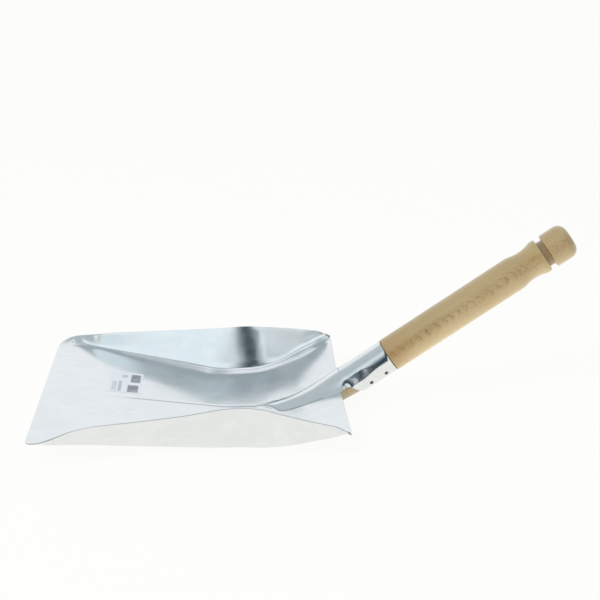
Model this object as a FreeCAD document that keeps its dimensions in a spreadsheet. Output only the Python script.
import FreeCAD, Part
import math
import os

import Sketcher
from FreeCAD import Placement, Rotation, Vector

# A hand scoop: a pan pressed and folded from one steel sheet, whose rear runs on as a ridged neck and rolls
# round a turned wooden handle as a nailed socket. Millimetres. +X runs from the lip to the handle, +Y is the
# scoop's left-right axis, +Z is up, and the origin is the centre of the whole scoop's footprint.

SIZES = {
    # the sheet and its floor, in side view
    "sheet_thick": 1.0,
    "pan_length": 277.6,
    "lip_height": 21.4,
    "valley_fall": 0.127,
    "valley_flat_from": 168.5,
    "valley_flat_bend": 10.0,
    "valley_rise": 0.42,
    "valley_rise_from": 226.0,
    "valley_rise_bend": 12.0,
    # the fold between floor and wall, in side view
    "fold_lip_height": 21.6,
    "fold_fall": 0.04,
    "fold_fall_more": 0.116,
    "fold_fall_from": 26.0,
    "fold_fall_bend": 14.0,
    "fold_rise": 0.524,
    "fold_rise_from": 197.5,
    "fold_rise_bend": 44.0,
    "fold_ground_bend": 1.0,
    "fold_lift": 0.12,
    "fold_lift_from": 264.0,
    "fold_lift_bend": 6.0,
    # the fold in plan
    "fold_half_width": 121.5,
    "fold_taper": 0.205,
    "fold_taper_from": 23.0,
    "fold_taper_bend": 9.0,
    "fold_flare": 0.621,
    "fold_flare_from": 190.7,
    "fold_flare_bend": 41.5,
    "fold_end": 0.30,
    "fold_end_from": 262.0,
    "fold_end_bend": 8.0,
    "fold_tuck": 6.0,
    "fold_tuck_from": 6.0,
    "fold_tuck_to": 16.0,
    # the wall's top edge, in plan
    "wall_half_width": 124.1,
    "wall_taper": 0.113,
    "wall_flare": 0.389,
    "wall_flare_from": 182.4,
    "wall_flare_bend": 24.0,
    "wall_end": 0.19,
    "wall_end_from": 248.0,
    "wall_end_bend": 20.0,
    "corner_spread": 7.2,
    "corner_spread_from": 14.0,
    "corner_spread_to": 46.0,
    "front_pinch": 1.2,
    "front_pinch_at": 60.0,
    "rear_pinch": 2.0,
    "rear_pinch_at": 168.0,
    "pinch_reach": 40.0,
    # the wall's top edge, in side view
    "wall_height": 30.4,
    "wall_climb": 0.062,
    "wall_climb_more": 0.035,
    "wall_climb_more_from": 138.0,
    "wall_climb_more_to": 165.0,
    "wall_climb_more_bend": 10.0,
    "wall_drop": 0.235,
    "wall_drop_from": 193.0,
    "wall_drop_bend": 14.0,
    "wall_fall": 0.42,
    "wall_fall_from": 265.5,
    "wall_fall_bend": 5.0,
    "corner_dip": 6.9,
    "corner_dip_from": -12.0,
    "corner_dip_to": 60.0,
    # the crease where the wall turns outwards, in plan: a gentle lead in, the turn, and a slight turn back
    "crease_at": 207.0,
    "crease_slant": 20.0,
    "crease_turn": 0.20,
    "crease_bend": 2.0,
    "crease_back": 0.062,
    "crease_back_after": 11.0,
    "crease_back_bend": 8.0,
    "crease_lead_before": 25.0,
    # the outline's corners and rear edge, in plan
    "corner_from": 112.0,
    "corner_to": 130.8,
    "corner_cut": 11.0,
    "rear_bow": 1.0,
    # how far from the fold its bend reaches, up the wall and in over the floor
    "fold_reach": 6.0,
    "fold_reach_half": 12.0,
    "fold_reach_rear": 13.0,
    "fold_reach_rear_from": 222.0,
    "fold_reach_rear_to": 256.0,
    "fold_inward": 8.0,
    "fold_inward_from": 70.0,
    "fold_inward_to": 130.0,
    "fold_inward_rear": 5.0,
    # the ridge that rises from the floor to the socket
    "ridge_start": 223.3,
    "ridge_bend": 30.0,
    "ridge_seed": 2.5,
    "ridge_widen": 0.8,
    "ridge_widen_from": 203.0,
    "ridge_narrow": 0.7,
    "ridge_narrow_from": 217.0,
    "ridge_side_bend": 5.0,
    "ridge_shape": 2.4,
    "ridge_round": 1.6,
    # the socket, along the handle's axis from its rim
    "rim_x": 323.4,
    "rim_height": 48.8,
    "handle_rise": 34.27,
    "socket_radius": 15.9,
    "socket_open_half": 84.0,
    "socket_shut_half": 175.0,
    "wrap_from": -48.0,
    "wrap_to": -31.0,
    "round_from": -54.0,
    "round_to": -40.0,
    # the handle, along its axis from the rim
    "tenon_start": -62.0,
    "tenon_tip_radius": 12.2,
    "tenon_taper_end": -28.0,
    "tenon_radius": 14.8,
    "grip_radius": 16.1,
    "waist_start": 140.9,
    "waist_end": 165.0,
    "waist_curve": 34.0,
    "collar_radius": 16.5,
    "groove_start": 170.3,
    "groove_end": 176.0,
    "groove_radius": 12.6,
    "knob_end": 200.7,
    "knob_radius": 16.6,
    "knob_round": 7.0,
    "edge_round": 1.4,
    "shoulder_round": 0.6,
    # the nails, through the socket's flanks into the handle
    "nail_front": -26.5,
    "nail_rear": -10.0,
    "nail_angle": 123.0,
    "nail_radius": 0.95,
    "nail_length": 12.0,
    "nail_shank": 9.0,
    "nail_clearance": 0.03,
    "nail_seat": 0.05,
    "nail_head_radius": 1.8,
    "nail_head_thick": 0.5,
    "nail_head_round": 0.4,
    # the label stuck on the floor
    "label_x": 58.0,
    "label_y": 10.0,
    "label_length": 31.0,
    "label_width": 50.0,
    "label_thick": 0.12,
    "label_corner": 2.0,
    "label_trim": 1.0,
    "label_gap": 0.03,
    # from the lip to the origin, half the scoop's whole length
    "origin_from_lip": 247.88,
}

STATIONS = 44  # rows of control points from the lip to the rear edge
FLOOR_LANES = 6  # lanes of control points across each half of the floor
RIDGE_LANES = 10  # lanes across each half of the ridge and the socket
LABEL_POINTS = 5  # control points along and across the label
SOCKET_ROWS = (-47.6, -45.0, -42.5, -40.0, -37.5, -35.0, -32.5, -29.0, -24.0, -18.0, -12.0, -6.0, 0.0)


def make_sheet(doc):
    sheet = doc.addObject("Spreadsheet::Sheet", "sizes")
    for row, (name, value) in enumerate(SIZES.items(), start=1):
        sheet.set(f"A{row}", name)
        sheet.set(f"B{row}", str(value))
        sheet.setAlias(f"B{row}", name)
    doc.recompute()
    return sheet


class Cells:
    """The sheet's cells as plain numbers, for shapes that only code can work out."""

    def __init__(self, sheet):
        for name in SIZES:
            setattr(self, name, float(sheet.get(name)))


# ---------------------------------------------------------------------- the pressed sheet, as a net of points


def bend(distance, reach):
    """A change of slope: 0 before the bend, the distance itself after it, and a parabola over its reach."""
    if distance <= -reach:
        return 0.0
    if distance >= reach:
        return distance
    return (distance + reach) ** 2 / (4.0 * reach)


def ease(value, start, end):
    """0 before start, 1 after end, and smooth between."""
    share = min(1.0, max(0.0, (value - start) / (end - start)))
    return share * share * (3.0 - 2.0 * share)


def valley(s, x):
    """Height of the floor's middle line, and of the foot of the ridge."""
    return (
        s.lip_height
        - s.valley_fall * (x - bend(x - s.valley_flat_from, s.valley_flat_bend))
        + s.valley_rise * bend(x - s.valley_rise_from, s.valley_rise_bend)
    )


def fold(s, x):
    """Half width and height of the fold between floor and wall."""
    across = (
        s.fold_half_width
        - s.fold_taper * bend(x - s.fold_taper_from, s.fold_taper_bend)
        + s.fold_flare * bend(x - s.fold_flare_from, s.fold_flare_bend)
        - s.fold_end * bend(x - s.fold_end_from, s.fold_end_bend)
        - s.fold_tuck * (1.0 - ease(x, s.fold_tuck_from, s.fold_tuck_to))
    )
    up = (
        s.fold_lip_height
        - s.fold_fall * x
        - s.fold_fall_more * bend(x - s.fold_fall_from, s.fold_fall_bend)
        + s.fold_rise * bend(x - s.fold_rise_from, s.fold_rise_bend)
    )
    grounded = bend(up, s.fold_ground_bend)
    return across, grounded + s.fold_lift * bend(x - s.fold_lift_from, s.fold_lift_bend)


def wall_top(s, x):
    """Half width and height of the wall's top edge, before its crease."""
    across = (
        s.wall_half_width
        - s.wall_taper * x
        + s.wall_flare * bend(x - s.wall_flare_from, s.wall_flare_bend)
        - s.wall_end * bend(x - s.wall_end_from, s.wall_end_bend)
        + s.corner_spread * (1.0 - ease(x, s.corner_spread_from, s.corner_spread_to))
        - s.front_pinch * (1.0 - ease(abs(x - s.front_pinch_at), 0.0, s.pinch_reach))
        - s.rear_pinch * (1.0 - ease(abs(x - s.rear_pinch_at), 0.0, s.pinch_reach))
    )
    up = (
        s.wall_height
        + s.wall_climb * x
        + s.wall_climb_more * bend(x - s.wall_climb_more_from, s.wall_climb_more_bend)
        - s.wall_climb_more * bend(x - s.wall_climb_more_to, s.wall_climb_more_bend)
        - s.wall_drop * bend(x - s.wall_drop_from, s.wall_drop_bend)
        - s.wall_fall * bend(x - s.wall_fall_from, s.wall_fall_bend)
        - s.corner_dip * (1.0 - ease(x, s.corner_dip_from, s.corner_dip_to))
    )
    return across, up


def crease(s, x, share):
    """How far the crease shifts the wall sideways, at a share of the way from the fold to the top edge."""
    past = x - s.crease_at - s.crease_slant * (1.0 - share) ** 2
    turn = s.crease_turn * bend(past, s.crease_bend)
    back = s.crease_back * bend(past - s.crease_back_after, s.crease_back_bend)
    lead = (s.crease_turn - s.crease_back) * bend(past + s.crease_lead_before, s.crease_lead_before)
    return share * (turn - back - lead)


def ridge_half_width(s, x):
    return (
        s.ridge_seed
        + s.ridge_widen * bend(x - s.ridge_widen_from, s.ridge_side_bend)
        - s.ridge_narrow * bend(x - s.ridge_narrow_from, s.ridge_side_bend)
    )


def ridge_height(s, x):
    """How far the ridge's top stands above its feet."""
    slope = math.tan(math.radians(s.handle_rise))
    rise = slope * bend(x - s.ridge_start, s.ridge_bend)
    return rise - s.valley_rise * bend(x - s.valley_rise_from, s.valley_rise_bend)


def half_section(s, x):
    """Control points (across, up) of the sheet's upper face from its middle out to the wall's top edge."""
    half, height, foot = ridge_half_width(s, x), ridge_height(s, x), valley(s, x)
    points = []
    for lane in range(RIDGE_LANES + 1):
        share = lane / RIDGE_LANES
        profile = (1.0 - share**s.ridge_shape) ** s.ridge_round
        points.append((half * share, foot + height * profile))
    (fold_y, fold_z), (top_y, top_z) = fold(s, x), wall_top(s, x)
    wall = math.hypot(top_y - fold_y, top_z - fold_z)
    floor = math.hypot(fold_y - half, fold_z - foot)
    softness = wall / (wall + s.fold_reach_half)
    rear = ease(x, s.fold_reach_rear_from, s.fold_reach_rear_to)
    reach = (s.fold_reach + s.fold_reach_rear * rear) * softness
    middle = ease(x, s.fold_inward_from, s.fold_inward_to)
    inward = (s.fold_reach + s.fold_inward * middle + s.fold_inward_rear * rear) * softness
    before = 1.0 - inward / floor
    for lane in range(1, FLOOR_LANES + 1):
        share = before * lane / FLOOR_LANES
        points.append((half + share * (fold_y - half), foot + share * (fold_z - foot)))
    points.append((fold_y, fold_z))
    for share in (reach / wall, 0.5 + 0.5 * reach / wall, 1.0):
        across = fold_y + share * (top_y - fold_y) + crease(s, x, share)
        points.append((across, fold_z + share * (top_z - fold_z)))
    return points


def station(s, share, lane_y):
    """The place along X of a control point: rows bend at the lip's rounded corners and bowed rear edge."""
    past = min(1.0, max(0.0, (lane_y - s.corner_from) / (s.corner_to - s.corner_from)))
    front = s.corner_cut * (1.0 - math.sqrt(1.0 - past * past))
    inward = min(1.0, lane_y / s.fold_half_width)
    back = s.pan_length - s.rear_bow * (1.0 - inward * inward)
    return front + share * (back - front)


def pan_net(s):
    """Rows of control points of the pan's upper face, each from the near wall's top edge to the far one's."""
    rows = []
    for index in range(STATIONS + 1):
        share = index / STATIONS
        guess = half_section(s, share * s.pan_length)
        half_row = []
        for lane, (guess_y, _) in enumerate(guess):
            x = station(s, share, guess_y)
            y, z = half_section(s, x)[lane]
            half_row.append(Vector(x, y, z))
        mirrored = [Vector(p.x, -p.y, p.z) for p in half_row[:0:-1]]
        rows.append(mirrored + half_row)
    return rows


def socket_frame(s):
    rise = math.radians(s.handle_rise)
    origin = Vector(s.rim_x, 0.0, s.rim_height)
    along = Vector(math.cos(rise), 0.0, math.sin(rise))
    above = Vector(-math.sin(rise), 0.0, math.cos(rise))
    return origin, along, above


def socket_net(s, first_row):
    """Rows of control points from the ridge at the pan's rear edge to the socket's rim."""
    origin, along, above = socket_frame(s)
    lanes = len(first_row)
    middle = lanes // 2
    rows = [first_row]
    for reach in SOCKET_ROWS:
        wrapped = ease(reach, s.wrap_from, s.wrap_to)
        half = s.socket_open_half + wrapped * (s.socket_shut_half - s.socket_open_half)
        rounded = ease(reach, s.round_from, s.round_to)
        step = math.radians(half) / middle
        radius = s.socket_radius * 3.0 / (2.0 + math.cos(step))
        row = []
        for lane in range(lanes):
            angle = step * (lane - middle)
            tube = origin + along * reach + above * (radius * math.cos(angle))
            tube += Vector(0.0, radius * math.sin(angle), 0.0)
            start = first_row[lane]
            run = start + along * (reach - (start - origin).dot(along))
            row.append(run * (1.0 - rounded) + tube * rounded)
        rows.append(row)
    return rows


def net_normals(rows):
    normals = []
    for i, row in enumerate(rows):
        before, after = rows[max(i - 1, 0)], rows[min(i + 1, len(rows) - 1)]
        line = []
        for j in range(len(row)):
            along = after[j] - before[j]
            across = row[min(j + 1, len(row) - 1)] - row[max(j - 1, 0)]
            line.append(along.cross(across).normalize())
        normals.append(line)
    return normals


def underside(rows, thick):
    return [
        [p - n * thick for p, n in zip(row, line)] for row, line in zip(rows, net_normals(rows))
    ]


# ----------------------------------------------------------------------------- spline faces from those nets


def clamped_knots(count, degree):
    """Knots and multiplicities of an even spline that starts and ends on its first and last points."""
    spans = count - degree
    return [float(k) for k in range(spans + 1)], [degree + 1] + [1] * (spans - 1) + [degree + 1]


def spline_face(rows, degree_along=3, degree_across=3):
    surface = Part.BSplineSurface()
    knots_along, many_along = clamped_knots(len(rows), degree_along)
    knots_across, many_across = clamped_knots(len(rows[0]), degree_across)
    surface.buildFromPolesMultsKnots(
        rows, many_along, many_across, knots_along, knots_across, False, False, degree_along, degree_across
    )
    return surface.toShape()


def edge_face(upper, lower):
    """The sheet's cut edge between one line of upper control points and the same line below."""
    return spline_face([upper, lower], degree_along=1)


def column(rows, lane):
    return [row[lane] for row in rows]


def sheet_faces(upper, lower, open_sides):
    """Both faces of a patch of sheet, and its cut edges on the sides named."""
    faces = [spline_face(upper), spline_face(lower)]
    lines = {
        "first": (upper[0], lower[0]),
        "last": (upper[-1], lower[-1]),
        "near": (column(upper, 0), column(lower, 0)),
        "far": (column(upper, -1), column(lower, -1)),
    }
    faces += [edge_face(*lines[side]) for side in open_sides]
    return faces


def lift(s):
    """From the lip's end of the ground line, under the sheet's upper face, to the scoop's own origin."""
    return Vector(-s.origin_from_lip, 0.0, s.sheet_thick)


def pan_shape(s):
    upper = pan_net(s)
    lower = underside(upper, s.sheet_thick)
    lanes = len(upper[0])
    near_foot = lanes // 2 - RIDGE_LANES
    far_foot = lanes // 2 + RIDGE_LANES
    spans = {
        "near": (0, near_foot + 1, ("first", "last", "near")),
        "middle": (near_foot, far_foot + 1, ("first",)),
        "far": (far_foot, lanes, ("first", "last", "far")),
    }
    faces = []
    for start, stop, sides in spans.values():
        faces += sheet_faces([r[start:stop] for r in upper], [r[start:stop] for r in lower], sides)

    neck = socket_net(s, upper[-1][near_foot : far_foot + 1])
    neck_lower = underside(neck, s.sheet_thick)
    neck_lower[0] = lower[-1][near_foot : far_foot + 1]
    faces += sheet_faces(neck, neck_lower, ("last", "near", "far"))

    sewn = Part.makeCompound(faces)
    sewn.sewShape(1e-4)
    solid = Part.Solid(sewn.Shells[0])
    if solid.Volume < 0:
        solid.reverse()
    solid.translate(lift(s))
    return solid


# --------------------------------------------------------------------------- turned pieces: handle and nails


def origin_plane(body, role):
    return next(feature for feature in body.Origin.OriginFeatures if feature.Role == role)


def hollow_arc(start, end, radius):
    """An arc from start to end that sags towards the axis below it."""
    chord = end - start
    away = Vector(-chord.y, chord.x, 0.0).normalize()
    centre = (start + end) * 0.5 + away * math.sqrt(radius**2 - (chord.Length / 2.0) ** 2)
    return Part.Arc(start, centre - away * radius, end)


def turned_body(doc, name, outline, arcs):
    """A body revolved about its own X axis from a half outline.

    outline lists corners as (place along the axis, radius), each the name of a cell, "-" and a name, or "0";
    the first and last corners lie on the axis. arcs maps a corner's index to the cell that holds the radius
    of the hollow arc from there to the next corner.
    """
    body = doc.addObject("PartDesign::Body", name + "_body")
    sketch = body.newObject("Sketcher::SketchObject", name + "_outline")
    sketch.AttachmentSupport = [(origin_plane(body, "XZ_Plane"), "")]
    sketch.MapMode = "FlatFace"

    def number(text):
        if text == "0":
            return 0.0
        sign = -1.0 if text.startswith("-") else 1.0
        return sign * float(doc.sizes.get(text.lstrip("-")))

    def formula(text):
        return "-sizes." + text[1:] if text.startswith("-") else "sizes." + text

    corners = [Vector(number(along), number(radius), 0.0) for along, radius in outline]
    count = len(corners)
    for index, corner in enumerate(corners):
        following = corners[(index + 1) % count]
        if index in arcs:
            curve = hollow_arc(corner, following, number(arcs[index]))
        else:
            curve = Part.LineSegment(corner, following)
        sketch.addGeometry(curve, False)

    def end_at(index, corner):
        """Which end of a curve is at a corner: an arc may be stored the other way round."""
        start = sketch.Geometry[index].StartPoint
        return 1 if start.distanceToPoint(corner) < 1e-6 else 2

    ends = [end_at(index, corner) for index, corner in enumerate(corners)]
    for index in range(count):
        following = (index + 1) % count
        met = end_at(index, corners[following])
        sketch.addConstraint(Sketcher.Constraint("Coincident", index, met, following, ends[following]))

    def bind(kind, index, text, value, axis):
        if text == "0":
            sketch.addConstraint(Sketcher.Constraint("PointOnObject", index, ends[index], axis))
            return
        held = sketch.addConstraint(Sketcher.Constraint(kind, -1, 1, index, ends[index], value))
        sketch.setExpression(f"Constraints[{held}]", formula(text))

    for index, (along, radius) in enumerate(outline):
        bind("DistanceX", index, along, corners[index].x, -2)
        bind("DistanceY", index, radius, corners[index].y, -1)
    for index, radius in arcs.items():
        bow = sketch.addConstraint(Sketcher.Constraint("Radius", index, number(radius)))
        sketch.setExpression(f"Constraints[{bow}]", formula(radius))

    turned = body.newObject("PartDesign::Revolution", name + "_turned")
    turned.Profile = sketch
    turned.ReferenceAxis = (sketch, ["H_Axis"])
    turned.Angle = 360.0
    doc.recompute()
    return body


def round_edge(doc, body, along, radius, rounding):
    """Rounds the circular edge of a radius at a place along the body's axis; all three are names of cells."""
    place = 0.0 if along == "0" else float(doc.sizes.get(along.lstrip("-")))
    place = -place if along.startswith("-") else place
    size = float(doc.sizes.get(radius))
    base = body.Tip
    found = []
    for number, edge in enumerate(base.Shape.Edges, start=1):
        curve = edge.Curve
        if not isinstance(curve, Part.Circle):
            continue
        if abs(curve.Radius - size) < 1e-3 and abs(curve.Center.x - place) < 1e-3:
            found.append(f"Edge{number}")
    fillet = body.newObject("PartDesign::Fillet", body.Name + "_round")
    fillet.Base = (base, found)
    fillet.setExpression("Radius", "sizes." + rounding)
    doc.recompute()


def handle_body(doc, s):
    outline = [
        ("tenon_start", "0"),
        ("tenon_start", "tenon_tip_radius"),
        ("tenon_taper_end", "tenon_radius"),
        ("0", "tenon_radius"),
        ("0", "grip_radius"),
        ("waist_start", "grip_radius"),
        ("waist_end", "collar_radius"),
        ("groove_start", "collar_radius"),
        ("groove_start", "groove_radius"),
        ("groove_end", "groove_radius"),
        ("groove_end", "knob_radius"),
        ("knob_end", "knob_radius"),
        ("knob_end", "0"),
    ]
    body = turned_body(doc, "handle", outline, {outline.index(("waist_start", "grip_radius")): "waist_curve"})
    round_edge(doc, body, "knob_end", "knob_radius", "knob_round")
    round_edge(doc, body, "groove_end", "knob_radius", "edge_round")
    round_edge(doc, body, "groove_start", "collar_radius", "edge_round")
    round_edge(doc, body, "0", "grip_radius", "shoulder_round")
    round_edge(doc, body, "tenon_start", "tenon_tip_radius", "edge_round")
    origin, _, _ = socket_frame(s)
    body.Placement = Placement(origin + lift(s), Rotation(Vector(0, 1, 0), -s.handle_rise))
    body.setExpression("Placement.Base.x", "sizes.rim_x - sizes.origin_from_lip")
    body.setExpression("Placement.Base.z", "sizes.rim_height + sizes.sheet_thick")
    return body


def nail_body(doc, name, place):
    outline = [
        ("-nail_head_thick", "0"),
        ("-nail_head_thick", "nail_head_radius"),
        ("0", "nail_head_radius"),
        ("0", "nail_radius"),
        ("nail_shank", "nail_radius"),
        ("nail_length", "0"),
    ]
    body = turned_body(doc, name, outline, {})
    round_edge(doc, body, "-nail_head_thick", "nail_head_radius", "nail_head_round")
    body.Placement = place
    body.Label = name
    return body


def nail_hole(doc, name, place, s):
    """The round hole that one nail fills, through the sheet and into the wood."""
    hole = doc.addObject("Part::Cylinder", name + "_hole")
    hole.setExpression("Radius", "sizes.nail_radius + sizes.nail_clearance")
    hole.setExpression("Height", "sizes.nail_length + 2 * sizes.sheet_thick")
    outward = place.Rotation.multVec(Vector(-1, 0, 0)) * s.sheet_thick
    hole.Placement = Placement(place.Base + outward, place.Rotation * Rotation(Vector(0, 1, 0), 90))
    return hole


def nail_places(s):
    """Where each nail's head meets the socket, with the nail's own X axis pointing at the handle's axis."""
    origin, along, above = socket_frame(s)
    turn = math.radians(s.nail_angle)
    places = {}
    for side, sign in (("near", -1.0), ("far", 1.0)):
        outward = above * math.cos(turn) + Vector(0.0, sign * math.sin(turn), 0.0)
        for row, reach in (("front", s.nail_front), ("rear", s.nail_rear)):
            base = origin + along * reach + outward * (s.socket_radius + s.nail_seat) + lift(s)
            places[f"nail_{side}_{row}"] = Placement(base, Rotation(Vector(1, 0, 0), outward * -1.0))
    return places


# ------------------------------------------------------------------------------------------------- the label


def floor_point(s, x, y):
    """A point of the floor's upper face between the ridge's foot and the fold."""
    half = ridge_half_width(s, x)
    fold_y, fold_z = fold(s, x)
    share = (y - half) / (fold_y - half)
    return Vector(x, y, valley(s, x) + share * (fold_z - valley(s, x)))


def floor_slip(s):
    """A thin layer on the floor that follows its slight twist, a little larger than the label."""
    rows = []
    for i in range(LABEL_POINTS):
        share_x = i / (LABEL_POINTS - 1)
        x = s.label_x - s.label_trim + share_x * (s.label_length + 2.0 * s.label_trim)
        row = []
        for j in range(LABEL_POINTS):
            share_y = j / (LABEL_POINTS - 1)
            y = s.label_y - s.label_trim + share_y * (s.label_width + 2.0 * s.label_trim)
            row.append(floor_point(s, x, y) + Vector(0, 0, s.label_gap))
        rows.append(row)
    slip = spline_face(rows).extrude(Vector(0, 0, s.label_thick))
    slip.translate(lift(s))
    return slip


def label_outline(doc):
    """An upright block with the label's outline and rounded corners."""
    block = doc.addObject("Part::Box", "label_block")
    block.setExpression("Length", "sizes.label_length")
    block.setExpression("Width", "sizes.label_width")
    block.setExpression("Height", "sizes.lip_height")
    block.setExpression("Placement.Base.x", "sizes.label_x - sizes.origin_from_lip")
    block.setExpression("Placement.Base.y", "sizes.label_y")
    doc.recompute()
    upright = [
        number
        for number, edge in enumerate(block.Shape.Edges, start=1)
        if abs(edge.BoundBox.ZLength - block.Height.Value) < 1e-6
    ]
    corner = float(doc.sizes.get("label_corner"))
    rounded = doc.addObject("Part::Fillet", "label_outline")
    rounded.Base = block
    rounded.Edges = [(number, corner, corner) for number in upright]
    return rounded


def label_sticker(doc, s):
    slip = doc.addObject("Part::Feature", "label_slip")
    slip.Shape = floor_slip(s)
    label = doc.addObject("Part::Common", "label")
    label.Base = slip
    label.Tool = label_outline(doc)
    return label


# ------------------------------------------------------------------------------------------------ the scoop


def cut(doc, label, base, tool):
    result = doc.addObject("Part::Cut", label)
    result.Base = base
    result.Tool = tool
    result.Label = label
    return result


def build(doc):
    sheet = make_sheet(doc)
    s = Cells(sheet)
    places = nail_places(s)
    nails = [nail_body(doc, name, place) for name, place in places.items()]

    holes = doc.addObject("Part::MultiFuse", "nail_holes")
    holes.Shapes = [nail_hole(doc, name, place, s) for name, place in places.items()]

    pressed = doc.addObject("Part::Feature", "pressed_sheet")
    pressed.Shape = pan_shape(s)
    pan = cut(doc, "pan", pressed, holes)
    handle = cut(doc, "handle", handle_body(doc, s), holes)

    label = label_sticker(doc, s)
    doc.recompute()
    return [pan, handle, label] + nails


def check(doc, pieces):
    for thing in doc.Objects:
        if any(word in thing.State for word in ("Invalid", "Error")):
            raise RuntimeError(f"{thing.Name} is {thing.State}")
    for piece in pieces:
        if piece.Shape.isNull() or not piece.Shape.isValid() or len(piece.Shape.Solids) != 1:
            raise RuntimeError(f"{piece.Label} isn't one valid solid")


def write(pieces):
    os.makedirs("parts", exist_ok=True)
    for piece in pieces:
        piece.Shape.exportStep(f"parts/{piece.Label}.step")
        box = piece.Shape.BoundBox
        size = " x ".join(f"{length:.1f}" for length in (box.XLength, box.YLength, box.ZLength))
        print(f"{piece.Label}: {size} mm, lowest {box.ZMin:.2f}, {piece.Shape.Volume / 1000.0:.2f} cm3")


def main():
    doc = FreeCAD.newDocument("feed_scoop")
    pieces = build(doc)
    check(doc, pieces)
    write(pieces)


main()
